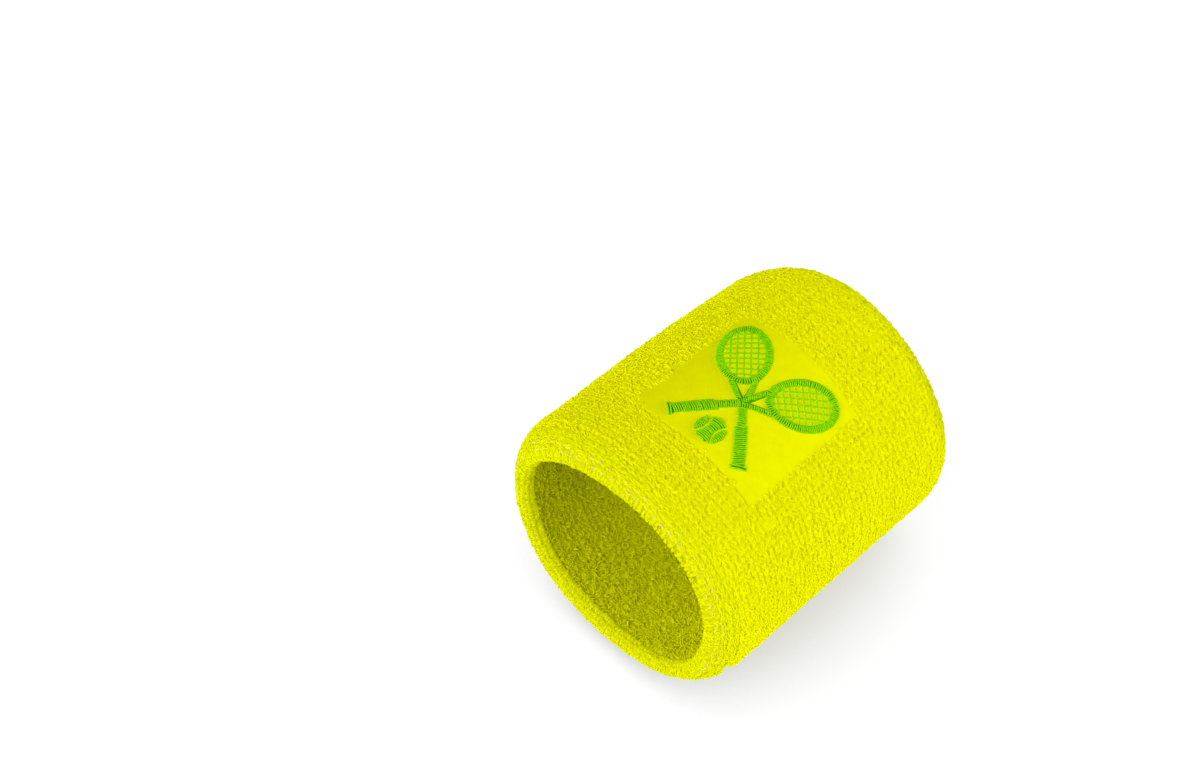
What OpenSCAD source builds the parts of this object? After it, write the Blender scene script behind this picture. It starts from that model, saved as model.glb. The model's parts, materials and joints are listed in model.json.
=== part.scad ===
// Terry sweat wristband: a knitted terry tube folded back inside itself to make a double
// wall, lying on its side. The band's axis runs along Y with the front opening towards -Y,
// +Z is up, and the origin is under the middle of the band on the surface that it rests on.

/* [Band] */
// Length of the band along its axis, rim to rim
band_length = 78; // [74:1:90]
// Outside diameter over the tips of the terry loops
outer_diameter = 66.5; // [66:0.5:74]
// Diameter of the wrist opening, held open
opening_diameter = 52; // [50:0.5:52]
// How far the underside is pressed flat by resting on a surface
rest_flat_depth = 2; // [1:0.25:2.5]

/* [Double wall] */
// Thickness of the inner layer of terry, loops included
inner_ply_thickness = 2.8; // [2.4:0.1:2.8]
// Space between the two layers, which holds the yarns, the seam and the backing
ply_gap = 1.8; // [1.8:0.1:2.2]

/* [Rims] */
// Length of each rolled rim along the axis
rim_length = 6; // [5:0.5:7]
// Radius at which the outside rolls over towards the opening
rim_roll_radius = 10; // [9.5:0.5:11]
// Length of the rolled-over part along the axis
rim_roll_depth = 8.8; // [8:0.2:9]
// Radius of the inner edge of the opening
lip_radius = 1.5; // [1:0.25:2]

/* [Rim stitching] */
// Stitches in one row round a rim
stitch_count = 76; // [60:4:76]
// Thread thickness
stitch_thread = 0.5; // [0.3:0.05:0.5]
// Length of one visible stitch
stitch_length = 1.3; // [0.8:0.1:1.5]
// Depth of the outer row below the outside, measured towards the axis
outer_row_inset = 1.9; // [1.6:0.1:2.1]
// Depth of the inner row below the outside, measured towards the axis
inner_row_inset = 2.9; // [2.7:0.1:3.3]

/* [Elastic yarns] */
// Turns of elastic yarn in each layer
elastic_turns = 15; // [9:2:15]
// Distance between turns along the axis
elastic_pitch = 3.4; // [3:0.1:3.4]
// Thickness of the covered elastic yarn
elastic_thickness = 0.5; // [0.3:0.05:0.5]

/* [Closing seam] */
// Width of the overlocked edge
seam_width = 3; // [2.5:0.1:3.2]
// Distance of the seam's middle from the band's middle, towards the rear
seam_offset = 29; // [28.5:0.1:29.5]
// Overlock stitches round the band
seam_stitches = 72; // [40:4:80]

/* [Patch] */
// Side of the square embroidery patch
patch_size = 35; // [34:0.5:38]
// Thickness of the patch cloth
patch_thickness = 0.9; // [0.6:0.1:1]
// How far the patch lies below the loop tips
patch_recess = 0.45; // [0.35:0.05:0.5]
// Direction the patch faces, as an angle up from +X
patch_angle = 79.5; // [60:0.5:100]
// Distance of the patch's middle from the band's middle, negative towards the front
patch_offset = -3.2; // [-6:0.1:0]
// Distance between needle holes along the patch's edge
edge_stitch_pitch = 2; // [1.6:0.1:2.4]

/* [Embroidery] */
// Height of the raised stitches above the patch
satin_height = 0.6; // [0.4:0.05:0.7]
// Size of the motif against its drawn size
motif_scale = 1.08; // [0.8:0.02:1.08]
// Lean of each racket to the side
racket_lean = 40; // [38:1:44]

/* [Hidden] */
$fn = 96;
outer_r = outer_diameter / 2;
opening_r = opening_diameter / 2;
axis_height = outer_r - rest_flat_depth;
half_length = band_length / 2;
roll_start = half_length - rim_roll_depth;
ply_end = half_length - rim_length;
stitch_row_insets = [outer_row_inset, inner_row_inset];

// The two layers of cloth and what lies between them, from the inside outwards
inner_ply_back = opening_r + inner_ply_thickness;
outer_ply_back = inner_ply_back + ply_gap;
backing_thickness = 0.35;
bobbin_thickness = 0.2;
backing_out = outer_ply_back - elastic_thickness;
backing_in = backing_out - backing_thickness;
patch_back = outer_r - patch_recess - patch_thickness;
patch_face = outer_r - patch_recess;
underlay_thickness = 0.15;
satin_back = patch_face + underlay_thickness;
satin_face = patch_face + satin_height;

// Closing seam, in the middle of the gap
seam_thickness = 0.6;
seam_thread = 0.3;
seam_middle_r = inner_ply_back + ply_gap / 2;
seam_clearance = 0.02;

// Stitching round the patch
edge_stitch_inset = 1.5;
edge_stitch_length = 1.2;
edge_stitch_thread = 0.35;

// One racket, drawn upright along +Y with the crossing point at its origin
head_middle = 12.2;
head_half_length = 7.8;
head_half_width = 5.6;
frame_width = 1.5;
string_width = 0.3;
string_pitch = 1.35;
main_strings = 5;
cross_strings = 9;
shaft_half_width = 0.9;
shaft_bottom = -5.2;
throat_bottom = 1.6;
throat_top = 6.6;
throat_half_width = 3.6;
grip_half_width = 1.35;
grip_bottom = -13.6;
butt_half_width = 1.75;
butt_bottom = -14.6;
crossing_clearance = 0.15;
crossing_height = -2.3;

// The ball, between the two grips
ball_radius = 3.1;
ball_height = -11.4;
ball_seam_offset = 4.7;
ball_seam_radius = 3.5;
ball_seam_width = 0.35;

underlay_margin = 0.3;
oval_points = 48;

// ---------------------------------------------------------------- placing

// Turns a shape made round Z so that it is round the band's axis
module round_axis() {
    translate([0, 0, axis_height]) rotate([-90, 0, 0]) children();
}

// Puts a shape drawn along +X from the axis at an angle up from +X
module at_angle(angle) {
    translate([0, 0, axis_height]) rotate([0, -angle, 0]) children();
}

module tube(r_in, r_out, y_from, y_to) {
    round_axis() translate([0, 0, y_from]) difference() {
        cylinder(r = r_out, h = y_to - y_from);
        translate([0, 0, -1]) cylinder(r = r_in, h = y_to - y_from + 2);
    }
}

module ring(middle_r, y, thickness) {
    round_axis() translate([0, 0, y]) rotate_extrude()
        translate([middle_r, 0]) circle(d = thickness);
}

// A short length of thread round the axis, centred on an angle up from +X
module arc_stitch(middle_r, y, angle, length, thickness) {
    sweep = length / middle_r * 180 / PI;
    at_angle(angle - sweep / 2) translate([0, y, 0]) rotate([90, 0, 0])
        rotate_extrude(angle = sweep) translate([middle_r, 0]) circle(d = thickness);
}

// Keeps the part of a shape that is above the resting surface
module rests_flat() {
    difference() {
        children();
        translate([-outer_diameter, -band_length, -outer_diameter])
            cube([2 * outer_diameter, 2 * band_length, outer_diameter]);
    }
}

// ---------------------------------------------------------------- the folded terry tube

// Half section of the whole double wall, x from the axis and y along it
module wall_section() {
    difference() {
        intersection() {
            union() {
                translate([0, -roll_start]) square([outer_r, 2 * roll_start]);
                translate([0, -half_length]) square([outer_r - rim_roll_radius, band_length]);
                for (end = [-1, 1])
                    translate([outer_r - rim_roll_radius, end * roll_start])
                        circle(r = rim_roll_radius);
            }
            translate([0, -half_length]) square([outer_r, band_length]);
        }
        translate([-1, -half_length - 1]) square([opening_r + 1, band_length + 2]);
        for (end = [-1, 1])
            scale([1, end]) translate([opening_r - 1, half_length - lip_radius])
                square([lip_radius + 1, lip_radius + 1]);
    }
    for (end = [-1, 1])
        translate([opening_r + lip_radius, end * (half_length - lip_radius)])
            circle(r = lip_radius);
}

// The part of the wall between two radii and two places along the axis
module wall_part(r_in, r_out, y_from, y_to) {
    rests_flat() round_axis() rotate_extrude() intersection() {
        wall_section();
        translate([r_in, y_from]) square([r_out - r_in, y_to - y_from]);
    }
}

module outer_terry_ply() {
    color("#e3ea00") difference() {
        wall_part(outer_ply_back, outer_r + 1, -ply_end, ply_end);
        patch_area(patch_size, patch_back, outer_r + 2);
    }
}

module inner_terry_ply() {
    color("#b7bd06") wall_part(opening_r - 1, inner_ply_back, -ply_end, ply_end);
}

function stitch_row_r(inset) = outer_r - inset;
function stitch_row_y(inset) =
    roll_start + sqrt(pow(rim_roll_radius, 2) - pow(rim_roll_radius - inset, 2));

module rim_roll(end) {
    color("#dde300") difference() {
        wall_part(opening_r - 1, outer_r + 1,
                  end > 0 ? ply_end : -half_length - 1, end > 0 ? half_length + 1 : -ply_end);
        for (inset = stitch_row_insets)
            ring(stitch_row_r(inset), end * stitch_row_y(inset), stitch_thread);
    }
}

module front_rim_roll() { rim_roll(-1); }
module rear_rim_roll() { rim_roll(1); }

// Two rows of pale stitches, the second half a step along from the first
module rim_stitching(end) {
    step = 360 / stitch_count;
    color("#efe9c8") rests_flat()
        for (row = [0 : len(stitch_row_insets) - 1], i = [0 : stitch_count - 1])
            arc_stitch(stitch_row_r(stitch_row_insets[row]),
                       end * stitch_row_y(stitch_row_insets[row]),
                       (i + row / 2) * step, stitch_length, stitch_thread);
}

module front_rim_stitching() { rim_stitching(-1); }
module rear_rim_stitching() { rim_stitching(1); }

// ---------------------------------------------------------------- inside the wall

module elastic_yarns(middle_r) {
    color("#f4f2e6") for (i = [0 : elastic_turns - 1])
        ring(middle_r, (i - (elastic_turns - 1) / 2) * elastic_pitch, elastic_thickness);
}

module outer_elastic_yarns() { elastic_yarns(outer_ply_back - elastic_thickness / 2); }
module inner_elastic_yarns() { elastic_yarns(inner_ply_back + elastic_thickness / 2); }

module overlocked_seam_edge() {
    color("#c9d000") tube(seam_middle_r - seam_thickness / 2, seam_middle_r + seam_thickness / 2,
                          seam_offset - seam_width / 2, seam_offset + seam_width / 2);
}

// One overlock loop, which goes round the edge like a small frame
module overlock_loop() {
    inner = [seam_thickness + 2 * seam_clearance, seam_width + 2 * seam_clearance];
    linear_extrude(seam_thread, center = true) difference() {
        square([inner[0] + 2 * seam_thread, inner[1] + 2 * seam_thread], center = true);
        square(inner, center = true);
    }
}

module closing_seam_thread() {
    color("#f1eebc") for (i = [0 : seam_stitches - 1])
        at_angle(i * 360 / seam_stitches) translate([seam_middle_r, seam_offset, 0])
            overlock_loop();
}

// ---------------------------------------------------------------- the patch

// Bends a flat point round the patch, so that distances along the curve stay true
function bent(p) = [patch_face * sin(p[0] / patch_face * 180 / PI), p[1]];
function bent_outline(points) = [for (p = points) bent(p)];

// The part of a round layer that lies under a flat drawing, +Y of the drawing to the rear
module in_layer(r_in, r_out) {
    intersection() {
        tube(r_in, r_out, -half_length, half_length);
        translate([0, patch_offset, axis_height]) rotate([0, 90 - patch_angle, 0])
            linear_extrude(outer_diameter) children();
    }
}

module patch_area(size, r_in, r_out) {
    half_width = bent([size / 2, 0])[0];
    in_layer(r_in, r_out) translate([-half_width, -size / 2]) square([2 * half_width, size]);
}

module embroidery_patch() {
    color("#ecf200") patch_area(patch_size, patch_back, patch_face);
}

module embroidery_backing() {
    color("#f7f7f2") patch_area(patch_size - 2, backing_in, backing_out);
}

// Short stitches just inside the patch's four edges
module patch_edge_stitching() {
    reach = patch_size / 2 - edge_stitch_inset;
    last = floor((reach - edge_stitch_pitch / 2) / edge_stitch_pitch);
    lift = patch_face + edge_stitch_thread / 2;
    color("#d3da00") for (side = [-1, 1], i = [-last : last]) {
        arc_stitch(lift, patch_offset + side * reach,
                   patch_angle + i * edge_stitch_pitch / patch_face * 180 / PI,
                   edge_stitch_length, edge_stitch_thread);
        at_angle(patch_angle + side * reach / patch_face * 180 / PI)
            translate([lift, patch_offset + i * edge_stitch_pitch + edge_stitch_length / 2, 0])
                rotate([90, 0, 0]) cylinder(d = edge_stitch_thread, h = edge_stitch_length);
    }
}

// ---------------------------------------------------------------- the crossed rackets and ball

function oval(half_width, half_length, middle) =
    [for (i = [0 : oval_points - 1]) let (a = i * 360 / oval_points)
        [half_width * cos(a), middle + half_length * sin(a)]];

// Leans a racket point to the side and moves it to the crossing, at the motif's size
function leaned(p, lean) = motif_scale *
    [p[0] * cos(lean) + p[1] * sin(lean), crossing_height - p[0] * sin(lean) + p[1] * cos(lean)];
function placed(points, lean) = bent_outline([for (p = points) leaned(p, lean)]);
function box_points(left, right, bottom, top) =
    [[left, bottom], [right, bottom], [right, top], [left, top]];

function head_outline(margin) =
    oval(head_half_width - margin, head_half_length - margin, head_middle);

// Half the inside of the head at a share of its half length or half width
function half_chord(half_across, half_along, distance) =
    half_across * sqrt(max(0, 1 - pow(distance / half_along, 2)));

module racket_frame_2d(lean, margin = 0) {
    difference() {
        polygon(placed(head_outline(margin), lean));
        polygon(placed(head_outline(frame_width - margin), lean));
    }
}

module racket_strings_2d(lean) {
    inside_w = head_half_width - frame_width;
    inside_l = head_half_length - frame_width;
    for (i = [0 : main_strings - 1]) {
        x = (i - (main_strings - 1) / 2) * string_pitch;
        reach = half_chord(inside_l, inside_w, abs(x) + string_width / 2);
        polygon(placed(box_points(x - string_width / 2, x + string_width / 2,
                                  head_middle - reach, head_middle + reach), lean));
    }
    for (i = [0 : cross_strings - 1]) {
        y = (i - (cross_strings - 1) / 2) * string_pitch;
        reach = half_chord(inside_w, inside_l, abs(y) + string_width / 2);
        polygon(placed(box_points(-reach, reach, head_middle + y - string_width / 2,
                                  head_middle + y + string_width / 2), lean));
    }
}

module racket_shaft_2d(lean, margin = 0) {
    leg = 1.5;
    difference() {
        polygon(placed([
            [shaft_half_width - margin, shaft_bottom], [shaft_half_width - margin, throat_bottom - leg],
            [throat_half_width - margin, throat_top], [-throat_half_width + margin, throat_top],
            [margin - shaft_half_width, throat_bottom - leg], [margin - shaft_half_width, shaft_bottom]
        ], lean));
        polygon(placed([
            [0, throat_bottom - margin], [throat_half_width - leg + margin, throat_top + margin],
            [leg - throat_half_width - margin, throat_top + margin]
        ], lean));
        polygon(placed(head_outline(0), lean));
    }
}

module racket_grip_2d(lean, margin = 0) {
    polygon(placed([
        [grip_half_width - margin, shaft_bottom - margin], [grip_half_width - margin, grip_bottom],
        [butt_half_width - margin, grip_bottom], [butt_half_width - margin, butt_bottom + margin],
        [margin - butt_half_width, butt_bottom + margin], [margin - butt_half_width, grip_bottom],
        [margin - grip_half_width, grip_bottom], [margin - grip_half_width, shaft_bottom - margin]
    ], lean));
}

// The stretch of the right racket that passes over the left one
module crossing_2d() {
    reach = shaft_half_width + crossing_clearance;
    polygon(placed(box_points(-reach, reach, shaft_bottom, throat_bottom), racket_lean));
}

module ball_2d(margin = 0) {
    round_ball = [for (p = oval(ball_radius - margin, ball_radius - margin, ball_height))
        motif_scale * p];
    difference() {
        polygon(bent_outline(round_ball));
        for (side = [-1, 1]) difference() {
            ball_arc(side, ball_seam_radius + ball_seam_width / 2 + margin);
            ball_arc(side, ball_seam_radius - ball_seam_width / 2 - margin);
        }
    }
}

module ball_arc(side, radius) {
    polygon(bent_outline([for (p = oval(radius, radius, ball_height))
        motif_scale * [p[0] + side * ball_seam_offset, p[1]]]));
}

module satin() {
    color("#6cc400") in_layer(satin_back, satin_face) children();
}

module left_racket_frame() { satin() racket_frame_2d(-racket_lean); }
module right_racket_frame() { satin() racket_frame_2d(racket_lean); }
module left_racket_strings() { satin() racket_strings_2d(-racket_lean); }
module right_racket_strings() { satin() racket_strings_2d(racket_lean); }
module left_racket_shaft() {
    satin() difference() {
        racket_shaft_2d(-racket_lean);
        crossing_2d();
    }
}
module right_racket_shaft() { satin() racket_shaft_2d(racket_lean); }
module left_racket_grip() { satin() racket_grip_2d(-racket_lean); }
module right_racket_grip() { satin() racket_grip_2d(racket_lean); }
module ball() { satin() ball_2d(); }

// The solid areas of the motif, drawn in from their edges
module motif_2d(margin) {
    for (lean = [-racket_lean, racket_lean]) {
        racket_frame_2d(lean, margin);
        racket_grip_2d(lean, margin);
        racket_shaft_2d(lean, margin);
    }
    ball_2d(margin);
}

module motif_underlay() {
    color("#4f9a08") in_layer(patch_face, satin_back) motif_2d(underlay_margin);
}

module bobbin_thread() {
    color("#fbfbf6") in_layer(backing_in - bobbin_thickness, backing_in) motif_2d(underlay_margin);
}

// ---------------------------------------------------------------- nodes

outer_terry_ply();
inner_terry_ply();
front_rim_roll();
rear_rim_roll();
outer_elastic_yarns();
inner_elastic_yarns();
front_rim_stitching();
rear_rim_stitching();
overlocked_seam_edge();
closing_seam_thread();
embroidery_patch();
patch_edge_stitching();
embroidery_backing();
bobbin_thread();
motif_underlay();
left_racket_frame();
left_racket_strings();
left_racket_shaft();
left_racket_grip();
right_racket_frame();
right_racket_strings();
right_racket_shaft();
right_racket_grip();
ball();
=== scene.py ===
# Terry sweat wristband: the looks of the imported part. Lengths are in millimetres until a mesh is
# made. The cloth is described by three values: along its section, round the band, and depth
# below the tips of the loops. on_cloth() turns them into places.
import json
import math

import bpy
import numpy as np
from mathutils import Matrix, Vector


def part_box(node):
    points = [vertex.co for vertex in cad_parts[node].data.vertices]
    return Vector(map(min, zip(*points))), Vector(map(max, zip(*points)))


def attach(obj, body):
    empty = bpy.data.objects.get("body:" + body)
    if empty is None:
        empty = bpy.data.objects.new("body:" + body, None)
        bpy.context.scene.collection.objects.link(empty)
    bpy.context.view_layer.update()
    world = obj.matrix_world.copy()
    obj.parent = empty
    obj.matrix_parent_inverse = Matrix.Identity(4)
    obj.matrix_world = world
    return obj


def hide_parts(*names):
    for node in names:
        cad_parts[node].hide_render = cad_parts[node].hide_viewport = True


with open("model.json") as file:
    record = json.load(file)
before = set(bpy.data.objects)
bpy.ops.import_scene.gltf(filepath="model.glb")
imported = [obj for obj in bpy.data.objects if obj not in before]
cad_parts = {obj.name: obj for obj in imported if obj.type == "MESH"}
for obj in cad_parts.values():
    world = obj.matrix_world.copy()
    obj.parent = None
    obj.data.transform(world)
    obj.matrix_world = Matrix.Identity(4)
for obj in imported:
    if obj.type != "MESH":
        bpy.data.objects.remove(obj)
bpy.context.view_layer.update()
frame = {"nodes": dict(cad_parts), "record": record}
METRES = 0.001


# ---------------------------------------------------------------- sizes from the frame

def corners(node):
    low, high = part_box(node)
    return np.array(low) / METRES, np.array(high) / METRES


mounts = {mount["name"]: mount for mount in frame["record"]["mounts"]}
OPENING_R = mounts["wrist_opening"]["dims"]["r_mm"]
AXIS_HEIGHT = mounts["wrist_opening"]["pos_m"][2] / METRES
OUTER_R = corners("outer_terry_ply")[1][2] - AXIS_HEIGHT
PLY_END = corners("outer_terry_ply")[1][1]
HALF_LENGTH = corners("rear_rim_roll")[1][1]

patch_low, patch_high = corners("embroidery_patch")
PATCH_SIZE = patch_high[1] - patch_low[1]
PATCH_Y = (patch_high[1] + patch_low[1]) / 2
PATCH_FACE = patch_high[2] - AXIS_HEIGHT
PATCH_ANGLE = (math.acos(patch_low[0] / PATCH_FACE) + math.acos(patch_high[0] / PATCH_FACE)) / 2

# The rim rolls over on an arc, ends in a small round lip at the opening, and runs on inside
ROLL_R = 10
ROLL_LENGTH = 8.8
ROLL_START = HALF_LENGTH - ROLL_LENGTH
LIP_R = 2.2
RIM_INSIDE = 5.0

# The knit: two loops for each wale round the band, one course after another along it
WALES = 76
LEGS = 2 * WALES
COURSE = 1.4
LOOP_SCATTER = 0.12

# Ground cloth: how far below the loops' tips it lies, how thick it is, and how fine its mesh is
PILE = 0.6
INNER_PILE = 1.0
GROUND_THICKNESS = 0.8
COLUMNS_PER_WALE = 6
HIDDEN_SIDE_COARSER = 8

rng = np.random.default_rng(20)


# ---------------------------------------------------------------- shape of the cloth

def away(angle, middle):
    """The angle from a middle place round the band, from half a turn back to half a turn on."""
    return (angle - middle + math.pi) % (2 * math.pi) - math.pi


def bell(distance, width):
    """1 at no distance, and fading smoothly to nothing within about two widths."""
    return np.exp(-(distance / width) ** 2)


def section_line():
    """Loop tips in the band's section, from the middle outside over the rim to the middle inside."""
    roll_end = math.asin((HALF_LENGTH - ROLL_START) / ROLL_R)
    roll = np.linspace(0, roll_end, 25)
    lip = np.linspace(math.pi / 2, math.pi, 13)
    radius = np.concatenate([[OUTER_R], OUTER_R - ROLL_R + ROLL_R * np.cos(roll),
                             OPENING_R + LIP_R + LIP_R * np.cos(lip), [OPENING_R]])
    along = np.concatenate([[0], ROLL_START + ROLL_R * np.sin(roll),
                            HALF_LENGTH - LIP_R + LIP_R * np.sin(lip), [0]])
    return radius, along


def evenly(radius, along, step=0.1, soften=1.2):
    """The same line at even steps, with its kinks rounded off."""
    reach = np.concatenate([[0], np.cumsum(np.hypot(np.diff(radius), np.diff(along)))])
    places = np.arange(0, reach[-1], step)
    window = np.hanning(int(soften / step) * 2 + 1)
    window /= window.sum()
    pad = len(window) // 2

    def smooth(values):
        line = np.interp(places, reach, values)
        return np.convolve(np.pad(line, pad, mode="edge"), window, mode="valid")

    return places, smooth(radius), smooth(along)


SECTION_S, SECTION_R, SECTION_Y = evenly(*section_line())
SECTION_LENGTH = SECTION_S[-1]
ALONG_R, ALONG_Y = np.gradient(SECTION_R, SECTION_S), np.gradient(SECTION_Y, SECTION_S)
NORMAL_R = ALONG_Y / np.hypot(ALONG_R, ALONG_Y)
NORMAL_Y = -ALONG_R / np.hypot(ALONG_R, ALONG_Y)

# Where the rim's cloth meets the plies, measured along the section
LIP_CREST = SECTION_S[np.argmax(SECTION_Y)]
RIM_END = LIP_CREST + RIM_INSIDE
OUTSIDE_END = np.interp(PLY_END, SECTION_Y[SECTION_S < LIP_CREST], SECTION_S[SECTION_S < LIP_CREST])

# At rest the band is a little wider than high. The floor flattens what would reach through it,
# shared out from SQUASH_FROM outwards, and leaves a radius up to FREE_R alone everywhere else.
# LEAST_DOWN keeps the way down to the floor finite beside and above the axis.
OVALNESS = 0.7
FLOOR_SOFTNESS = 0.7
SQUASH_FROM = OPENING_R + 3
FREE_R = OUTER_R + 0.4
LEAST_DOWN = 0.05

# The stitching draws the rims' crests back, and pinches a slanted groove behind the front rim
DRAWN_BACK = 0.85
DRAWN_BACK_ANGLE = math.radians(85)
DRAWN_BACK_WIDTH = math.radians(45)
DRAWN_BACK_LENGTH = 6
PINCH_DEPTH = 1.1
PINCH_ANGLE = math.radians(-30)
PINCH_ARC = math.radians(12)
PINCH_Y = -31.4
PINCH_WIDTH = 1.2
PINCH_SLOPE = -0.5


def soft_min(a, b, softness):
    """The smaller of two values, blended where they are nearly equal."""
    share = np.clip(0.5 + 0.5 * (b - a) / softness, 0, 1)
    return b * (1 - share) + a * share - softness * share * (1 - share)


def out_of_round(angle, y):
    """How far the worn-in band stands out from a true cylinder, in millimetres.

    A fine ripple runs all over it, and low bulges grow towards its two ends."""
    rearward = y / HALF_LENGTH
    ripple = 0.16 * np.sin(3 * angle + 0.07 * y + 0.4) + 0.1 * np.sin(5 * angle - 0.11 * y + 2)
    bulges = (0.37 * rearward * np.sin(angle) - 0.46 * rearward * np.sin(3 * angle)
              + 0.48 * rearward * np.cos(4 * angle) + 0.32 * rearward ** 2 * np.sin(2 * angle))
    return ripple + bulges - pinch(angle, y)


def drawn_back(angle, y):
    """How far the stitching draws the crest of each rim back, most on its upper right side."""
    at_end = np.clip((np.abs(y) - HALF_LENGTH + DRAWN_BACK_LENGTH) / DRAWN_BACK_LENGTH, 0, 1) ** 2
    return -np.sign(y) * at_end * DRAWN_BACK * bell(away(angle, DRAWN_BACK_ANGLE), DRAWN_BACK_WIDTH)


def pinch(angle, y):
    """The groove that the rim stitching pulls into the band just behind the front rim."""
    off_side = away(angle, PINCH_ANGLE)
    behind = y - PINCH_Y - PINCH_SLOPE * off_side * OUTER_R
    return PINCH_DEPTH * bell(behind, PINCH_WIDTH) * bell(off_side, PINCH_ARC)


def settled(radius, angle, y):
    """Where a point of the round band lies once the band rests on the floor under its own weight."""
    radius = radius + out_of_round(angle, y)
    down = np.maximum(-np.sin(angle), LEAST_DOWN)
    limit = soft_min(FREE_R, AXIS_HEIGHT / down + OVALNESS, FLOOR_SOFTNESS)
    share = (limit - SQUASH_FROM) / (FREE_R - SQUASH_FROM)
    squashed = np.where(radius > SQUASH_FROM, SQUASH_FROM + (radius - SQUASH_FROM) * share, radius)
    x = (squashed + OVALNESS) * np.cos(angle)
    z = AXIS_HEIGHT + (squashed - OVALNESS) * np.sin(angle)
    return np.stack([x, y + drawn_back(angle, y) + 0 * x, np.maximum(z, 0)], -1)


def on_cloth(along, angle, depth):
    """A place on the cloth: along its section, negative at the front, round it, and below the tips."""
    reach = np.abs(along)
    front = np.sign(along) + (along == 0)
    radius = np.interp(reach, SECTION_S, SECTION_R) - depth * np.interp(reach, SECTION_S, NORMAL_R)
    y = np.interp(reach, SECTION_S, SECTION_Y) - depth * np.interp(reach, SECTION_S, NORMAL_Y)
    return settled(radius, angle, front * y)


def patch_coordinates(along, angle):
    """Where a place on the outside lies from the patch's middle: round the band, and along it."""
    y = np.sign(along) * np.interp(np.abs(along), SECTION_S, SECTION_Y)
    return away(PATCH_ANGLE, angle) * PATCH_FACE, y - PATCH_Y


def on_patch(u, v, height):
    """A place on the patch: u round the band, v along it, and height above the patch's face."""
    return settled(PATCH_FACE + height, PATCH_ANGLE - u / PATCH_FACE, PATCH_Y + v)


# ---------------------------------------------------------------- making meshes

def make_piece(name, points, face_sets, material, replaces=()):
    """A mesh piece from points in millimetres and arrays of faces, riding on the band."""
    corner_lists = np.concatenate([faces.ravel() for faces in face_sets]).astype(np.int32)
    sizes = np.concatenate([np.full(len(faces), faces.shape[1]) for faces in face_sets])
    starts = np.concatenate([[0], np.cumsum(sizes)[:-1]]).astype(np.int32)
    mesh = bpy.data.meshes.new(name)
    mesh.vertices.add(len(points))
    mesh.vertices.foreach_set("co", (points * METRES).astype(np.float32).ravel())
    mesh.loops.add(len(corner_lists))
    mesh.loops.foreach_set("vertex_index", corner_lists)
    mesh.polygons.add(len(starts))
    mesh.polygons.foreach_set("loop_start", starts)
    mesh.update(calc_edges=True)
    mesh.validate()
    mesh.shade_smooth()
    mesh.materials.append(material)
    piece = bpy.data.objects.new(name, mesh)
    bpy.context.scene.collection.objects.link(piece)
    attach(piece, "root")
    if replaces:
        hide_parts(*replaces)
    return piece


def unit(vectors):
    return vectors / np.maximum(np.linalg.norm(vectors, axis=-1, keepdims=True), 1e-9)


def tubes(paths, thickness, reference, sides):
    """Closed tubes along many paths at once. reference is a direction that no path runs along."""
    count, steps = paths.shape[:2]
    tangent = unit(np.gradient(paths, axis=1))
    side = unit(np.cross(tangent, np.broadcast_to(reference, paths.shape)))
    up = np.cross(side, tangent)
    turn = np.arange(sides) * 2 * math.pi / sides
    radius = np.broadcast_to(thickness, (count, steps))[..., None, None] / 2
    rings = paths[:, :, None] + radius * (np.cos(turn)[:, None] * side[:, :, None]
                                          + np.sin(turn)[:, None] * up[:, :, None])
    index = np.arange(count * steps * sides).reshape(count, steps, sides)
    here, ahead = index[:, :-1], index[:, 1:]
    quads = np.stack([here, np.roll(here, -1, 2), np.roll(ahead, -1, 2), ahead], -1).reshape(-1, 4)
    caps = np.concatenate([index[:, 0, ::-1], index[:, -1]])
    return rings.reshape(-1, 3), [quads, caps]


def grid_faces(rows, columns, wrap=False):
    """Quads of a grid of points, closed round its columns if wrap is true."""
    index = np.arange(rows * columns).reshape(rows, columns)
    ahead = np.roll(index, -1, 1) if wrap else index[:, 1:]
    here = index if wrap else index[:, :-1]
    return np.stack([here[:-1], ahead[:-1], ahead[1:], here[1:]], -1).reshape(-1, 4)


def joined(parts):
    """One set of points and faces from several (points, face_sets) parts."""
    points, by_size, offset = [], {}, 0
    for part_points, face_sets in parts:
        points.append(part_points)
        for faces in face_sets:
            by_size.setdefault(faces.shape[1], []).append(faces + offset)
        offset += len(part_points)
    return np.concatenate(points), [np.concatenate(faces) for faces in by_size.values()]


# ---------------------------------------------------------------- materials

class Nodes:
    """Short ways to wire a material's nodes."""

    def __init__(self, name):
        self.material = bpy.data.materials.new(name)
        self.material.use_nodes = True
        self.tree = self.material.node_tree
        self.shader = self.tree.nodes["Principled BSDF"]
        self.place = self.tree.nodes.new("ShaderNodeTexCoord").outputs["Object"]

    def add(self, kind, **settings):
        node = self.tree.nodes.new("ShaderNode" + kind)
        for key, value in settings.items():
            if key in node.inputs:
                node.inputs[key].default_value = value
            else:
                setattr(node, key, value)
        return node

    def link(self, output, node, socket):
        self.tree.links.new(output, node.inputs[socket])

    def noise(self, scale, detail, roughness=0.6):
        node = self.add("TexNoise", Scale=scale, Detail=detail, Roughness=roughness)
        self.link(self.place, node, "Vector")
        return node.outputs["Fac"]

    def ramp(self, value, stops):
        node = self.add("ValToRGB")
        elements = node.color_ramp.elements
        while len(elements) < len(stops):
            elements.new(0.5)
        for element, (place, colour) in zip(elements, stops):
            element.position = place
            element.color = (*colour, 1)
        self.link(value, node, "Fac")
        return node.outputs["Color"]

    def bump(self, value, distance):
        node = self.add("Bump", Distance=distance, Strength=1.0)
        self.link(value, node, "Height")
        self.link(node.outputs["Normal"], self.shader, "Normal")

    def set(self, **sockets):
        for name, value in sockets.items():
            self.shader.inputs[name.replace("_", " ")].default_value = value


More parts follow.
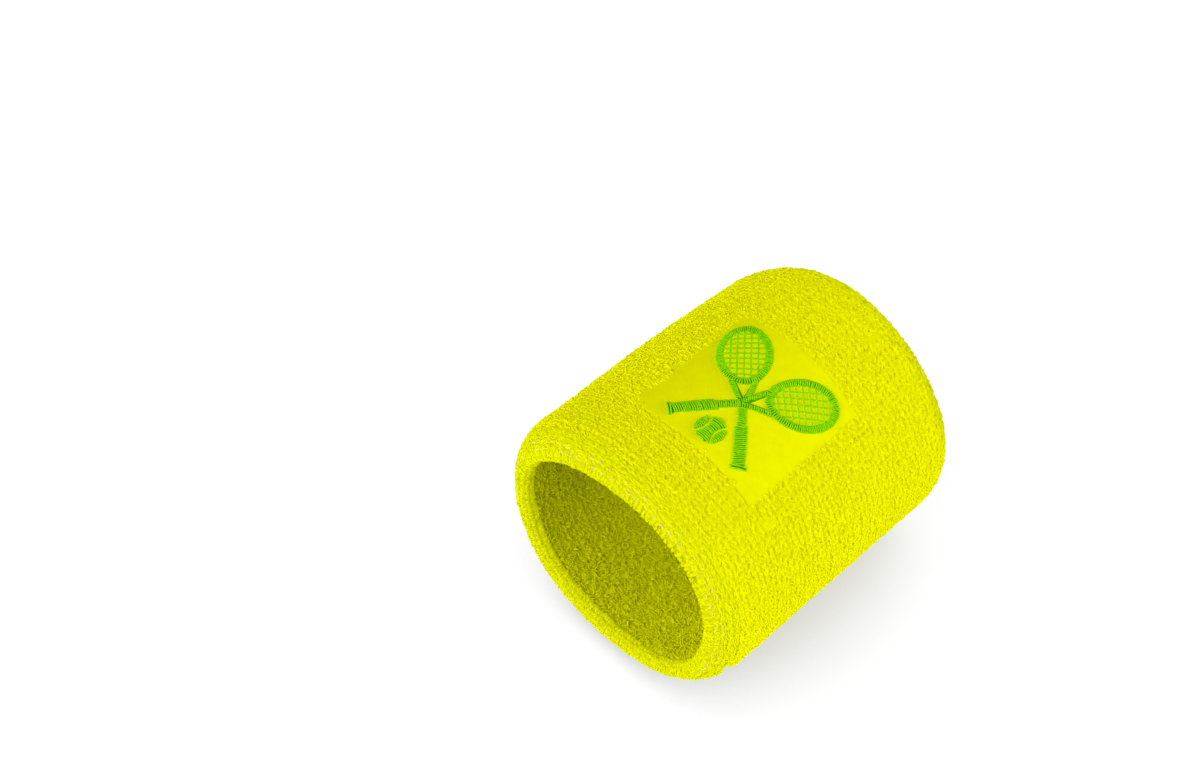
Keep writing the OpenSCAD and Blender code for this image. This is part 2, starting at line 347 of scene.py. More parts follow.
# Noise scales are per metre, and the fibres' height is in metres
FIBRE_SCALE = 5200
FIBRE_HEIGHT = 0.00004
# PAINTED_GLOW is painted light: the terry, rim, patch and satin glow by it though they are no lamps
PAINTED_GLOW = 0.12


def yarn_material(name, dark, light, roughness=0.9, specular=0.0, painted_glow=0.0, patches=420):
    """Spun yarn: colour drifts along it in patches, and fine fibres break up its surface.

    painted_glow: painted light for the fluorescent dye, a glow on top of the plain colour under any
    light."""
    nodes = Nodes(name)
    drift = nodes.noise(patches, detail=4, roughness=0.65)
    colour = nodes.ramp(drift, [(0.3, dark), (0.7, light)])
    nodes.link(colour, nodes.shader, "Base Color")
    if painted_glow:
        nodes.link(colour, nodes.shader, "Emission Color")
    nodes.bump(nodes.noise(FIBRE_SCALE, detail=2), FIBRE_HEIGHT)
    nodes.set(Roughness=roughness, Specular_IOR_Level=specular, Emission_Strength=painted_glow)
    return nodes.material


terry = yarn_material("neon_terry", (0.90, 0.91, 0.0), (0.94, 0.95, 0.0), painted_glow=PAINTED_GLOW)
# rim_terry is the terry made a little darker and greener: painted shade on the rolled rim
rim_terry = yarn_material("rim_terry", (0.83, 0.86, 0.0), (0.87, 0.9, 0.0), painted_glow=PAINTED_GLOW)
# The outer ground cloth is a little darker than its loops and has half their painted glow: painted shade
# between the loops
ground_terry = yarn_material("ground_terry", (0.84, 0.85, 0.0), (0.90, 0.91, 0.0), painted_glow=0.5 * PAINTED_GLOW)
# inner_terry is the same yarn as the outer terry, a little darker and without the painted glow: painted
# shade inside the band
inner_terry = yarn_material("inner_terry", (0.83, 0.85, 0.0), (0.9, 0.92, 0.0))
# inner_ground is darker than the inner loops: painted shade in the gaps between them inside the band
inner_ground = yarn_material("inner_ground", (0.72, 0.74, 0.0), (0.82, 0.84, 0.0))
pale_thread = yarn_material("pale_thread", (0.86, 0.82, 0.24), (0.92, 0.88, 0.4))
patch_cloth = yarn_material("patch_cloth", (0.78, 0.8, 0.0), (0.83, 0.85, 0.0), painted_glow=PAINTED_GLOW)
patch_thread = yarn_material("patch_thread", (0.82, 0.76, 0.5), (0.9, 0.86, 0.64))
elastic_yarn = yarn_material("elastic_yarn", (0.82, 0.8, 0.72), (0.92, 0.9, 0.84))
backing_cloth = yarn_material("backing_cloth", (0.84, 0.84, 0.8), (0.92, 0.92, 0.88))
bobbin = yarn_material("bobbin_thread", (0.86, 0.86, 0.82), (0.95, 0.95, 0.92))
# The underlay is painted much darker than the satin over it: painted shade in the gaps between the satin
# threads
underlay = yarn_material("underlay_thread", (0.05, 0.34, 0.0), (0.1, 0.45, 0.0))
satin = yarn_material("satin_thread", (0.15, 0.61, 0.0), (0.42, 0.87, 0.0), roughness=0.45,
                      specular=0.03, painted_glow=0.8 * PAINTED_GLOW, patches=2400)


# ---------------------------------------------------------------- the two plies and the rims

# The knit's holes keep TAUT_SHARE of their depth away from the place where the cloth is slack
PIT_ROWS = 64
PIT_DEPTHS = rng.uniform(0.4, 1.4, (PIT_ROWS, WALES))
SLACK_ANGLE = math.radians(95)
SLACK_ARC = math.radians(40)
TAUT_SHARE = 0.25

# Ribs stand at the lip, most strongly round RIB_ANGLE. Every other groove between them may be
# drawn in much further than its neighbours. The knit's holes fade out before RIB_START.
RIB_DEPTHS = rng.uniform(0.2, 1.0, LEGS) + 1.8 * rng.uniform(0, 1, LEGS) * (np.arange(LEGS) % 2)
RIB_START = LIP_CREST - 2.8
RIB_WIDTH = 2.2
RIB_ANGLE = math.radians(40)
RIB_ARC = math.radians(50)
RIB_LEAST = 0.12
RIM_PIT_SHARE = 0.5
RIM_PIT_FADE = 1.5

# Gaps in the front rim: which wales they lie at, and where along the section. Loops are left out
# where the cloth is more open than GAP_EDGE.
GAP_WALES = np.arange(8, 14)
GAP_ALONG = -(LIP_CREST - 0.9)
GAP_DEPTH = 3.4
GAP_WIDTH = 0.65
GAP_LENGTH = 0.7
GAP_EDGE = 0.3

# The crease at the bottom right of the opening
CREASE_DEPTH = 1.4
CREASE_ALONG = -(RIM_END - 0.3)
CREASE_WIDTH = 0.4
CREASE_ANGLE = math.radians(-48)
CREASE_ARC = math.radians(22)

# Needle holes, counted from the middle of the patch's lower edge
HOLE_PITCH = 2.0
HOLE_DEPTH = 0.65
HOLE_R = 0.5
FIRST_HOLE, LAST_HOLE = -8, 7


def pits(along, angle):
    """The small holes of the knit, one to each wale and course, deepest where the cloth is slack."""
    wale, course = angle * WALES / (2 * math.pi), along / COURSE
    nearest_wale, nearest_course = np.round(wale), np.round(course)
    depths = PIT_DEPTHS[nearest_course.astype(int) % PIT_ROWS, nearest_wale.astype(int) % WALES]
    near = np.cos(math.pi * (wale - nearest_wale)) * np.cos(math.pi * (course - nearest_course))
    slack = TAUT_SHARE + (1 - TAUT_SHARE) * bell(angle % (2 * math.pi) - SLACK_ANGLE, SLACK_ARC)
    return depths * slack * near ** 4


def drawn_in(along, angle):
    """How hard the stitching draws the rim into ribs: most at the lip, on the upper right side."""
    at_lip = bell(np.abs(along) - LIP_CREST, RIB_WIDTH)
    return at_lip * (RIB_LEAST + (1 - RIB_LEAST) * bell(away(angle, RIB_ANGLE), RIB_ARC))


def ribs(along, angle):
    """Grooves between the ribs of the rim, with the knit's holes outside them and the crease inside."""
    wale = np.round(angle * LEGS / (2 * math.pi)).astype(int) % LEGS
    grooves = RIB_DEPTHS[wale] * drawn_in(along, angle) * np.maximum(np.cos(angle * LEGS), 0)
    outside = np.clip((RIB_START - np.abs(along)) / RIM_PIT_FADE, 0, 1)
    return grooves + RIM_PIT_SHARE * outside * pits(along, angle) + crease(along, angle)


def gaps(along, angle):
    """How open the cloth is, from 0 to 1, at the small gaps between the front rim's ribs."""
    share = 0
    for wale in GAP_WALES:
        across = (angle - (wale + 0.25) * 2 * math.pi / WALES) * OPENING_R
        share = share + bell(across, GAP_WIDTH) * bell(along - GAP_ALONG, GAP_LENGTH)
    return share


def gapped_ribs(along, angle):
    """The ribs, and between them the gaps, where the stitching pulls the front rim hardest."""
    return ribs(along, angle) + GAP_DEPTH * gaps(along, angle)


def crease(along, angle):
    """The fold where the front rim meets the inner ply, pressed in at the bottom right."""
    across = bell(along - CREASE_ALONG, CREASE_WIDTH)
    return CREASE_DEPTH * across * np.exp(-(away(angle, CREASE_ANGLE) / CREASE_ARC) ** 4)


def needle_holes(along, angle):
    """Dents where the needle went in beside the patch's lower edge."""
    u, v = patch_coordinates(along, angle)
    beside = v - np.clip(np.round(v / HOLE_PITCH), FIRST_HOLE, LAST_HOLE) * HOLE_PITCH
    return HOLE_DEPTH * bell(np.hypot(u - PATCH_SIZE / 2 - HOLE_R, beside), HOLE_R)


def knit(along, angle):
    """All that is sunk into the outer ply."""
    return pits(along, angle) + needle_holes(along, angle)


def ground_shell(name, along, pile, relief, material, replaces):
    """The ground cloth under the loops: a closed shell round the band, coarser on its hidden side."""
    columns = WALES * COLUMNS_PER_WALE
    angle = np.linspace(0, 2 * math.pi, columns, endpoint=False)[None, :]
    hidden_count = len(along) // HIDDEN_SIDE_COARSER + 2
    hidden = along[np.unique(np.linspace(0, len(along) - 1, hidden_count).astype(int))]
    top = on_cloth(along[:, None], angle, pile + relief(along[:, None], angle))
    under = on_cloth(hidden[:, None], angle, pile + GROUND_THICKNESS + 0 * angle)
    points = np.concatenate([top.reshape(-1, 3), under.reshape(-1, 3)])
    outside = grid_faces(len(along), columns, wrap=True)
    inside = grid_faces(len(hidden), columns, wrap=True)
    ring = np.arange(columns)
    ahead = np.roll(ring, -1)
    first, last = len(along) * columns, (len(along) - 1) * columns
    under_last = first + (len(hidden) - 1) * columns
    near_end = np.stack([ahead, ring, ring + first, ahead + first], -1)
    far_end = np.stack([ring + last, ahead + last, ahead + under_last, ring + under_last], -1)
    ends = np.concatenate([near_end, far_end])
    across = np.cross(top[0, 1] - top[0, 0], top[1, 0] - top[0, 0])
    faces = [outside, inside[:, ::-1] + first, ends]
    if across @ (top[0, 0] - under[0, 0]) < 0:
        faces = [part[:, ::-1] for part in faces]
    return make_piece(name, points, faces, material, replaces)


# Loops: how much their measures differ, as shares of each, how far a strand strays and how deep
# its feet are sunk, in millimetres, and how far it turns away from its loop, in radians. PROBE is
# the short step that finds the direction across a loop.
UNEVEN = 0.12
STRAY = 0.08
FOOT = 0.2
SPLAY = 0.25
PROBE = 0.2
LOOP_SIDES = 3
THREAD_SIDES = 8


def terry_loops(along, angle, pile, dents, height, width, strands, spread, thickness, turn, lean,
                turned=0.0, steps=6):
    """Terry loops of several loose strands each, arching up from the cloth at the given places.

    Their width runs round the band unless they are turned. turn and lean are how much the loops
    differ in direction and tilt, and dents tells how far the cloth under them is sunk."""
    count = len(along)
    strand = (np.arange(strands) - (strands - 1) / 2)[None, :, None]
    t = np.linspace(0, 1, steps)[None, None, :]
    across = -np.cos(math.pi * t)
    rise = np.sin(math.pi * t) ** 0.8

    def per_loop(middle, deviation):
        return rng.normal(middle, deviation, (count, 1, 1))

    def per_strand(middle, deviation):
        return rng.normal(middle, deviation, (count, strands, 1))

    wobble = per_strand(0, STRAY) * np.sin(2 * math.pi * t + per_strand(0, 2))
    z = rise * (height * per_loop(1, UNEVEN) * per_strand(1, UNEVEN) + FOOT) - FOOT
    x = across * width / 2 * per_strand(1, UNEVEN) + wobble
    between = strand * np.broadcast_to(spread, count)[:, None, None]
    y = between + per_loop(0, lean) * z + per_strand(0, STRAY) + wobble
    twist = turned + per_loop(0, turn) + per_strand(0, SPLAY)
    x, y = x * np.cos(twist) - y * np.sin(twist), x * np.sin(twist) + y * np.cos(twist)

    along, angle = along[:, None, None], angle[:, None, None]
    local_r = np.interp(np.abs(along), SECTION_S, SECTION_R)
    sunk = dents(along + y, angle + x / local_r)
    places = on_cloth(along + y, angle + x / local_r, pile - z + sunk)
    step_along, step_round = PROBE * np.cos(twist), -PROBE * np.sin(twist)
    beside = on_cloth(along + step_along, angle + step_round / local_r, pile)
    reference = unit(beside - on_cloth(along, angle, pile)) + 0 * places
    widths = (thickness * per_strand(1, UNEVEN) + 0 * t).reshape(-1, steps)
    return tubes(places.reshape(-1, steps, 3), widths, reference.reshape(-1, steps, 3), LOOP_SIDES)


def lattice(along_from, along_to):
    """Places of loops between the pits, from one place along the section to another."""
    first, last = math.ceil(along_from / COURSE - 0.5), math.floor(along_to / COURSE - 0.5)
    rows = np.arange(first, last + 1) + 0.5
    columns = np.arange(LEGS) / 2 + 0.25
    along, angle = np.meshgrid(rows * COURSE, columns * 2 * math.pi / WALES, indexing="ij")
    along = along.ravel() + rng.normal(0, LOOP_SCATTER, along.size)
    angle = angle.ravel() + rng.normal(0, LOOP_SCATTER, angle.size) / OUTER_R
    return along, angle


PATCH_OVERGROWN = 0.25


def off_patch(along, angle):
    """True for places that the patch leaves free, with its edge a little overgrown by loops."""
    u, v = patch_coordinates(along, angle)
    reach = PATCH_SIZE / 2 - PATCH_OVERGROWN
    return (np.abs(u) > reach) | (np.abs(v) > reach)


QUARTERS = {"right": (-45, 45), "top": (45, 135), "left": (135, 225), "under": (225, 315)}


def in_quarter(angle, limits):
    degrees = (np.degrees(angle) + 45) % 360 - 45
    return (degrees >= limits[0]) & (degrees < limits[1])


# How far apart the rows of each ground cloth's mesh are
OUTER_STEP, INNER_STEP, RIM_STEP = 0.35, 0.4, 0.3


def outer_ply():
    """The outer ply is one sheet between the rims, with its loops left out under the patch."""
    along = np.linspace(-OUTSIDE_END, OUTSIDE_END, int(2 * OUTSIDE_END / OUTER_STEP))
    ground = ground_shell("outer_terry_cloth", along, PILE, knit, ground_terry,
                          ["outer_terry_ply"])
    along, angle = lattice(-OUTSIDE_END, OUTSIDE_END)
    free = off_patch(along, angle)
    for end, end_free in (("front", along < 0), ("rear", along >= 0)):
        for quarter, limits in QUARTERS.items():
            here = free & end_free & in_quarter(angle, limits)
            points, faces = terry_loops(along[here], angle[here], PILE, knit, height=0.5, width=1.45,
                                        strands=4, spread=0.28, thickness=0.28, turn=0.22, lean=0.2)
            make_piece(f"outer_loops_{end}_{quarter}", points, faces, terry)


def inner_ply():
    """The inner ply is one sheet; it runs from the front rim to the rear rim inside."""
    half = np.linspace(RIM_END, SECTION_LENGTH, int((SECTION_LENGTH - RIM_END) / INNER_STEP))
    ground = ground_shell("inner_terry_cloth", np.concatenate([-half, half[::-1]]), INNER_PILE, pits,
                          inner_ground, ["inner_terry_ply"])
    for side, end in ((-1, "front"), (1, "rear")):
        along, angle = lattice(RIM_END, SECTION_LENGTH)
        for quarter, limits in QUARTERS.items():
            here = in_quarter(angle, limits)
            points, faces = terry_loops(side * along[here], angle[here], INNER_PILE, pits,
                                        height=INNER_PILE - 0.1, width=1.4, strands=2, spread=0.5,
                                        thickness=0.26, turn=0.6, lean=0.35, steps=8)
            make_piece(f"inner_loops_{end}_{quarter}", points, faces, inner_terry)


def rim(side, name):
    """The cloth that rolls over at one end. Its loops stand in ribs at the lip."""
    along = np.linspace(OUTSIDE_END, RIM_END, int((RIM_END - OUTSIDE_END) / RIM_STEP))
    ground = ground_shell(f"{name}_rim_cloth", side * along, PILE, gapped_ribs, ground_terry,
                          [f"{name}_rim_roll"])
    along, angle = lattice(OUTSIDE_END, RIM_END)
    closed = gaps(side * along, angle) < GAP_EDGE
    along, angle = along[closed], angle[closed]
    ribbed = (along > RIB_START)[:, None, None]
    points, faces = terry_loops(side * along, angle, PILE, ribs, height=0.5, width=1.65, strands=4,
                                spread=0.29 - 0.19 * drawn_in(along, angle), thickness=0.28,
                                turn=np.where(ribbed, 0.07, 0.22), lean=0.15,
                                turned=np.where(ribbed, math.pi / 2, 0))
    loops = make_piece(f"{name}_rim_loops", points, faces, rim_terry)


# Rim stitches: how far each row lies inside the band's outline, and the shape of one stitch
STITCH_INSETS = (2.4, 3.6)
STITCH_HALF_LENGTH = 0.75
STITCH_SCATTER = 0.12
STITCH_DEPTH = 0.3
STITCH_DIVE = 0.7
STITCH_SLANT = 0.1
STITCH_THREAD = 0.24


def rim_stitches(side, name):
    """Pale dashes in two rows, half a step apart round the band, partly sunk in the loops."""
    parts = []
    t = np.linspace(-1, 1, 9)
    for row, inset in enumerate(STITCH_INSETS):
        roll = math.acos((ROLL_R - inset) / ROLL_R)
        along = side * (ROLL_START + ROLL_R * roll)
        radius = OUTER_R - inset
        angle = (np.arange(WALES) + row / 2)[:, None] * 2 * math.pi / WALES
        angle = angle + t * rng.normal(STITCH_HALF_LENGTH, STITCH_SCATTER, (WALES, 1)) / radius
        depth = rng.normal(STITCH_DEPTH, 0.6 * STITCH_DEPTH, (WALES, 1)) + STITCH_DIVE * np.abs(t) ** 3
        slant = rng.normal(STITCH_SLANT, STITCH_SLANT, (WALES, 1)) * t
        paths = on_cloth(along + rng.normal(0, STITCH_SCATTER, (WALES, 1)) + slant, angle, depth)
        parts.append(tubes(paths, STITCH_THREAD, np.array([0.0, 1.0, 0.0]), THREAD_SIDES))
    points, faces = joined(parts)
    make_piece(f"{name}_rim_stitches", points, faces, pale_thread,
               [f"{name}_rim_stitching"])


# ---------------------------------------------------------------- the patch

PATCH_THICKNESS = 0.85
PATCH_STEPS = 176
WEAVE_HEIGHT, WEAVE_PITCH = 0.035, 0.8
EDGE_DEPTH, EDGE_WIDTH = 0.12, 0.7


def patch():
    """The smooth patch: a finely woven square sheet, pressed down at its edge."""
    line = np.linspace(-PATCH_SIZE / 2, PATCH_SIZE / 2, PATCH_STEPS)
    u, v = np.meshgrid(line, line, indexing="ij")
    weave = WEAVE_HEIGHT * np.sin(2 * math.pi * u / WEAVE_PITCH) * np.sin(2 * math.pi * v / WEAVE_PITCH)
    from_edge = PATCH_SIZE / 2 - np.maximum(np.abs(u), np.abs(v))
    top = on_patch(u, v, weave - EDGE_DEPTH * np.exp(-from_edge / EDGE_WIDTH))
    under = on_patch(u, v, -PATCH_THICKNESS + 0 * u)
    points = np.concatenate([top.reshape(-1, 3), under.reshape(-1, 3)])
    face = grid_faces(PATCH_STEPS, PATCH_STEPS)
    back = PATCH_STEPS ** 2
    index = np.arange(back).reshape(PATCH_STEPS, PATCH_STEPS)
    rim_line = np.concatenate([index[0, :-1], index[:-1, -1], index[-1, :0:-1], index[:0:-1, 0]])
    ahead = np.roll(rim_line, -1)
    ends = np.stack([rim_line, ahead, ahead + back, rim_line + back], -1)
    cloth = make_piece("patch_cloth", points, [face[:, ::-1], face + back, ends], patch_cloth,
                       ["embroidery_patch"])


# ---------------------------------------------------------------- embroidery

# One racket, drawn upright with the crossing point at its origin. Widths are half widths, and
# the legs are the two stretches that lead from the shaft to the head.
MOTIF_SCALE = 1.08
LEAN = math.radians(40)
CROSSING_Y = -2.3
HEAD_Y, HEAD_L, HEAD_W, FRAME = 12.2, 7.8, 5.6, 1.5
SHAFT_W, SHAFT_BOTTOM, SHAFT_TOP = 0.9, -5.2, 0.1
LEG_TOP, LEG_INSIDE, LEG_OUTSIDE = 5.2, 1.725, 3.0
CROSSING_GAP = 0.25
GRIP_W, GRIP_BOTTOM, GRIP_SLANT = 1.35, -13.6, 0.35
BUTT_W, BUTT_BOTTOM = 1.75, -14.6
STRING_PITCH, MAIN_STRINGS, CROSS_STRINGS = 1.35, 5, 9
STRING_THREAD, STRING_WAVE = 0.3, 0.07
MAIN_LIFT, CROSS_LIFT = 0.12, 0.3
BALL_Y, BALL_R, SEAM_OFFSET, SEAM_R, SEAM_GAP = -11.4, 3.1, 4.7, 3.5, 0.2
NARROWEST = 0.25

# Satin stitch: threads side by side over a rise, each sunk in the patch at its two ends
STITCH_PITCH = 0.45
SATIN_RISE = 0.75
SATIN_SUNK = 0.2
SATIN_THREAD = 0.34
SATIN_STRAY = 0.03


def leaned(points, lean):
    """Racket points leaned to the side and put at the crossing, in millimetres on the patch."""
    x, y = points[..., 0], points[..., 1]
    return MOTIF_SCALE * np.stack([x * math.cos(lean) + y * math.sin(lean),
                                   CROSSING_Y - x * math.sin(lean) + y * math.cos(lean)], -1)


def satin_stitches(starts, ends):
    """Threads laid side by side from starts to ends, each diving into the cloth at both ends."""
    count = len(starts)
    starts = starts + rng.normal(0, SATIN_STRAY, starts.shape)
    ends = ends + rng.normal(0, SATIN_STRAY, ends.shape)
    t = np.linspace(0, 1, 11)[None, :]
    flat = starts[:, None] + (ends - starts)[:, None] * t[..., None]
    dome = (1 - np.abs(2 * t - 1) ** 2.2) ** 0.6
    rise = SATIN_RISE + SATIN_SUNK - SATIN_THREAD / 2
    height = rise * dome * rng.normal(1, 0.04, (count, 1)) - SATIN_SUNK
    paths = on_patch(flat[..., 0], flat[..., 1], height)
    outward = on_patch(flat[..., 0], flat[..., 1], height + 1) - paths
    along = unit(np.cross(outward, np.gradient(paths, axis=1)))
    widths = SATIN_THREAD * rng.normal(1, 0.05, (count, 1))
    return tubes(paths, widths, along, THREAD_SIDES)


def evenly_spaced(points, pitch):
    """Points at even steps along a line of points."""
    reach = np.concatenate([[0], np.cumsum(np.linalg.norm(np.diff(points, axis=0), axis=1))])
    places = np.arange(pitch / 2, reach[-1], reach[-1] / round(reach[-1] / pitch))
    return np.stack([np.interp(places, reach, points[:, k]) for k in (0, 1)], -1)


def head_stitches(lean):
    """The oval frame, its stitches laid across it all the way round."""
    width, length = HEAD_W - FRAME / 2, HEAD_L - FRAME / 2
    turn = np.linspace(0, 2 * math.pi, 721)
    middle = np.stack([width * np.cos(turn), HEAD_Y + length * np.sin(turn)], -1)
    middle = evenly_spaced(middle, STITCH_PITCH)
    outward = unit(np.stack([middle[:, 0] / width ** 2, (middle[:, 1] - HEAD_Y) / length ** 2], -1))
    outward = outward * FRAME / 2
    return [satin_stitches(leaned(middle - outward, lean), leaned(middle + outward, lean))]


def rows_between(first, second):
    """Starts and ends of stitches between two edges, each given by its two ends."""
    first, second = np.array(first, float), np.array(second, float)
    middle = (first + second) / 2
    count = int(round(np.linalg.norm(middle[1] - middle[0]) / STITCH_PITCH))
    share = ((np.arange(count) + 0.5) / count)[:, None]
    return first[0] + (first[1] - first[0]) * share, second[0] + (second[1] - second[0]) * share


def shaft_stitches(lean, under):
    """The shaft and the two legs above it. One that goes under the other shaft is left out there."""
    fields = [rows_between([(-SHAFT_W, SHAFT_BOTTOM), (-SHAFT_W, SHAFT_TOP)],
                           [(SHAFT_W, SHAFT_BOTTOM), (SHAFT_W, SHAFT_TOP)])]
    for side in (-1, 1):
        fields.append(rows_between([(0, SHAFT_TOP), (side * LEG_INSIDE, LEG_TOP)],
                                   [(side * SHAFT_W, SHAFT_TOP), (side * LEG_OUTSIDE, LEG_TOP)]))
    parts = []
    for starts, ends in fields:
        starts, ends = leaned(starts, lean), leaned(ends, lean)
        if under:
            middle = (starts + ends) / 2 / MOTIF_SCALE - np.array([0, CROSSING_Y])
            from_shaft = np.abs(middle[:, 0] * math.cos(lean) + middle[:, 1] * math.sin(lean))
            free = from_shaft > SHAFT_W + CROSSING_GAP
            starts, ends = starts[free], ends[free]
        parts.append(satin_stitches(starts, ends))
    return parts


def grip_stitches(lean):
    """The grip, with stitches slanted like wound tape, and the wider butt at its end."""
    grip = rows_between([(-GRIP_W, SHAFT_BOTTOM - GRIP_SLANT), (-GRIP_W, GRIP_BOTTOM - GRIP_SLANT)],
                        [(GRIP_W, SHAFT_BOTTOM + GRIP_SLANT), (GRIP_W, GRIP_BOTTOM + GRIP_SLANT)])
    butt = rows_between([(-BUTT_W, GRIP_BOTTOM), (-BUTT_W, BUTT_BOTTOM)],
                        [(BUTT_W, GRIP_BOTTOM), (BUTT_W, BUTT_BOTTOM)])
    return [satin_stitches(leaned(starts, lean), leaned(ends, lean)) for starts, ends in (grip, butt)]


def string_stitches(lean):
    """Running stitches: the main strings first, then the cross strings over them."""
    inside_w, inside_l = HEAD_W - FRAME, HEAD_L - FRAME
    lines = []
    for is_main, number, half_across, half_along in ((True, MAIN_STRINGS, inside_w, inside_l),
                                                     (False, CROSS_STRINGS, inside_l, inside_w)):
        for i in range(number):
            place = (i - (number - 1) / 2) * STRING_PITCH
            reach = half_along * math.sqrt(1 - (place / half_across) ** 2)
            run = np.linspace(-reach, reach, 33)
            still = np.full_like(run, place)
            line = np.stack([still, HEAD_Y + run] if is_main else [run, HEAD_Y + still], -1)
            lift = MAIN_LIFT if is_main else CROSS_LIFT
            height = lift + STRING_WAVE * np.cos(run / STRING_PITCH * 2 * math.pi)
            flat = leaned(line, lean)
            paths = on_patch(flat[:, 0], flat[:, 1], height)[None]
            outward = unit(on_patch(flat[:, 0], flat[:, 1], height + 1) - paths[0])[None]
            sideways = np.cross(outward, unit(np.gradient(paths, axis=1)))
            lines.append(tubes(paths, STRING_THREAD, sideways, THREAD_SIDES))
    return lines


def ball_stitches():
    """Three filled fields, with the two seams left open between them."""
    rows = np.arange(-BALL_R + STITCH_PITCH / 2, BALL_R, STITCH_PITCH)
    half = np.sqrt(BALL_R ** 2 - rows ** 2)
    seam = SEAM_OFFSET - np.sqrt(np.maximum(SEAM_R ** 2 - rows ** 2, 0))
    middle = np.minimum(half, seam - SEAM_GAP)
    outer = half > seam + SEAM_GAP + NARROWEST
    fields = [(rows, -middle, middle)]
    for side in (-1, 1):
        fields.append((rows[outer], side * (seam + SEAM_GAP)[outer], side * half[outer]))
    parts = []
    for y, left, right in fields:
        starts, ends = np.stack([left, BALL_Y + y], -1), np.stack([right, BALL_Y + y], -1)
        parts.append(satin_stitches(starts * MOTIF_SCALE, ends * MOTIF_SCALE))
    return parts


def embroidery():
    """Two crossed rackets, the right one over the left one, and a ball below them."""
    for side, lean in (("left", -LEAN), ("right", LEAN)):
        for part, stitches in (("frame", head_stitches(lean)), ("strings", string_stitches(lean)),
                               ("shaft", shaft_stitches(lean, under=side == "left")),
                               ("grip", grip_stitches(lean))):
            points, faces = joined(stitches)
            make_piece(f"{side}_{part}_stitches", points, faces, satin,
                       [f"{side}_racket_{part}"])
    points, faces = joined(ball_stitches())
    make_piece("ball_stitches", points, faces, satin, ["ball"])


# ---------------------------------------------------------------- what lies inside the wall

def carried(node, material, sunk=None):
    """A CAD solid copied into the settled shape of the cloth that holds it.

    sunk tells how far each place of it is pulled into the cloth."""
    mesh = frame["nodes"][node].data.copy()
    points = np.zeros(len(mesh.vertices) * 3)
    mesh.vertices.foreach_get("co", points)
    x, y, z = points.reshape(-1, 3).T / METRES
    z = z - AXIS_HEIGHT
    pulled = sunk(x, y) if sunk else 0
    places = settled(np.hypot(x, z) - pulled, np.arctan2(z, x), y)
    mesh.vertices.foreach_set("co", (places * METRES).ravel())
    mesh.materials.clear()
    mesh.materials.append(material)
    mesh.update()
    piece = bpy.data.objects.new(f"settled_{node}", mesh)
    bpy.context.scene.collection.objects.link(piece)
    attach(piece, "root")
    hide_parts(node)
    return piece


def edge_stitch_depth(x, y):
    """How far the thread round the patch is pulled in: now and then a little of it shows."""
    return 0.85 - 0.4 * np.sin(2.1 * x + 1.3 * y)


def hidden_pieces():
    """What the wall and the patch hold, and the patch's edge stitching, of which little shows."""
    for node, material, slot in (("outer_elastic_yarns", elastic_yarn, "elastic_yarn"),
                                 ("inner_elastic_yarns", elastic_yarn, "elastic_yarn"),
                                 ("overlocked_seam_edge", inner_terry, "inner_terry"),
                                 ("closing_seam_thread", pale_thread, "pale_thread"),
                                 ("bobbin_thread", bobbin, "bobbin_thread"),
                                 ("motif_underlay", underlay, "underlay_thread")):
        carried(node, material)
    carried("patch_edge_stitching", patch_thread, sunk=edge_stitch_depth)
    backing = carried("embroidery_backing", backing_cloth)


outer_ply()
inner_ply()
for side, name in ((-1, "front"), (1, "rear")):
    rim(side, name)
    rim_stitches(side, name)
patch()
embroidery()
hidden_pieces()


# ---------------------------------------------------------------- floor, light and camera

FLOOR_SIZE = 40
SHADOW_REACH = 0.045


def floor():
    """A pale floor that glows by itself, less where the band stands over it: there it has a painted
    shadow.
    """
    bpy.ops.mesh.primitive_plane_add(size=FLOOR_SIZE)
    plane = bpy.context.object
    plane.name = "floor"
    nodes = Nodes("floor")
    # Ambient occlusion near the band dims the floor's glow: this is the painted shadow
    open_sky = nodes.add("AmbientOcclusion", Distance=SHADOW_REACH, samples=16)
    painted_glow = nodes.ramp(open_sky.outputs["AO"], [(0.3, (0.6,) * 3), (0.7, (0.94,) * 3), (0.9, (1.0,) * 3)])
    nodes.link(painted_glow, nodes.shader, "Emission Color")
    # The bluish base colour keeps the painted shadow grey under the yellow light from the band
    nodes.set(Base_Color=(0.16, 0.16, 0.22, 1), Roughness=1.0, Specular_IOR_Level=0.0,
              Emission_Strength=0.93)
    plane.data.materials.append(nodes.material)


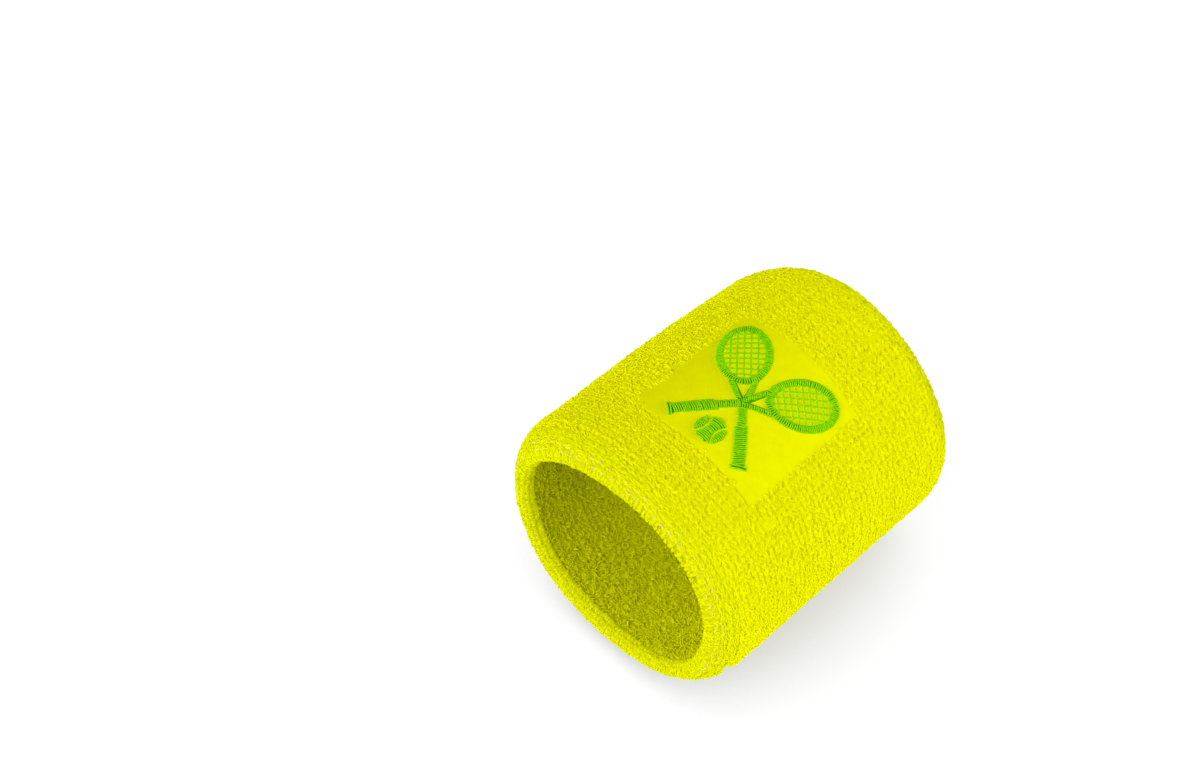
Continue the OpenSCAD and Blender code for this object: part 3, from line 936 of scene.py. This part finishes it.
def light(name, azimuth, elevation, power, distance=2.4, size=1.4):
    """A square soft light aimed at the band. The azimuth turns from +X towards +Y, and the
    distance and size are in metres."""
    a, e = math.radians(azimuth), math.radians(elevation)
    towards = Vector((math.cos(a) * math.cos(e), math.sin(a) * math.cos(e), math.sin(e)))
    data = bpy.data.lights.new(name, "AREA")
    data.size = size
    data.energy = power
    lamp = bpy.data.objects.new(name, data)
    lamp.location = towards * distance + Vector((0, 0, AXIS_HEIGHT * METRES))
    lamp.rotation_euler = (-towards).to_track_quat("-Z", "Y").to_euler()
    bpy.context.scene.collection.objects.link(lamp)


SENSOR_WIDTH = 36
IMAGE_WIDTH = 1179
FOCAL_PIXELS = 1682


def camera(azimuth, elevation, distance, right_shift, up_shift):
    """A camera that looks towards the origin, moved aside in its own plane so that the origin
    stands right_shift and up_shift off the picture's middle. All are in millimetres, and azimuth 0
    looks along +Y."""
    a, e = math.radians(azimuth), math.radians(elevation)
    back = Vector((math.sin(a) * math.cos(e), -math.cos(a) * math.cos(e), math.sin(e)))
    right = Vector((math.cos(a), math.sin(a), 0))
    up = back.cross(right)
    data = bpy.data.cameras.new("camera")
    data.lens = SENSOR_WIDTH * FOCAL_PIXELS / IMAGE_WIDTH
    data.sensor_width = SENSOR_WIDTH
    data.clip_start = 0.01
    seen_from = bpy.data.objects.new("camera", data)
    seen_from.location = (back * distance - right * right_shift - up * up_shift) * METRES
    seen_from.rotation_euler = (-back).to_track_quat("-Z", "Y").to_euler()
    bpy.context.scene.collection.objects.link(seen_from)
    bpy.context.scene.camera = seen_from


def studio(strength):
    """Even white light from all round."""
    world = bpy.data.worlds.new("studio")
    world.use_nodes = True
    background = world.node_tree.nodes["Background"]
    background.inputs["Color"].default_value = (1, 1, 1, 1)
    background.inputs["Strength"].default_value = strength
    bpy.context.scene.world = world


floor()
studio(0.1)
light("front", 270, 40, 36.0)
light("front_left", 225, 50, 11.2)
light("right", 0, 18, 8.0)
light("rear_right", 45, 18, 31.5)
bpy.context.scene.view_settings.view_transform = "Standard"
camera(azimuth=45.2, elevation=48.6, distance=400.5, right_shift=31.5, up_shift=-37.73)
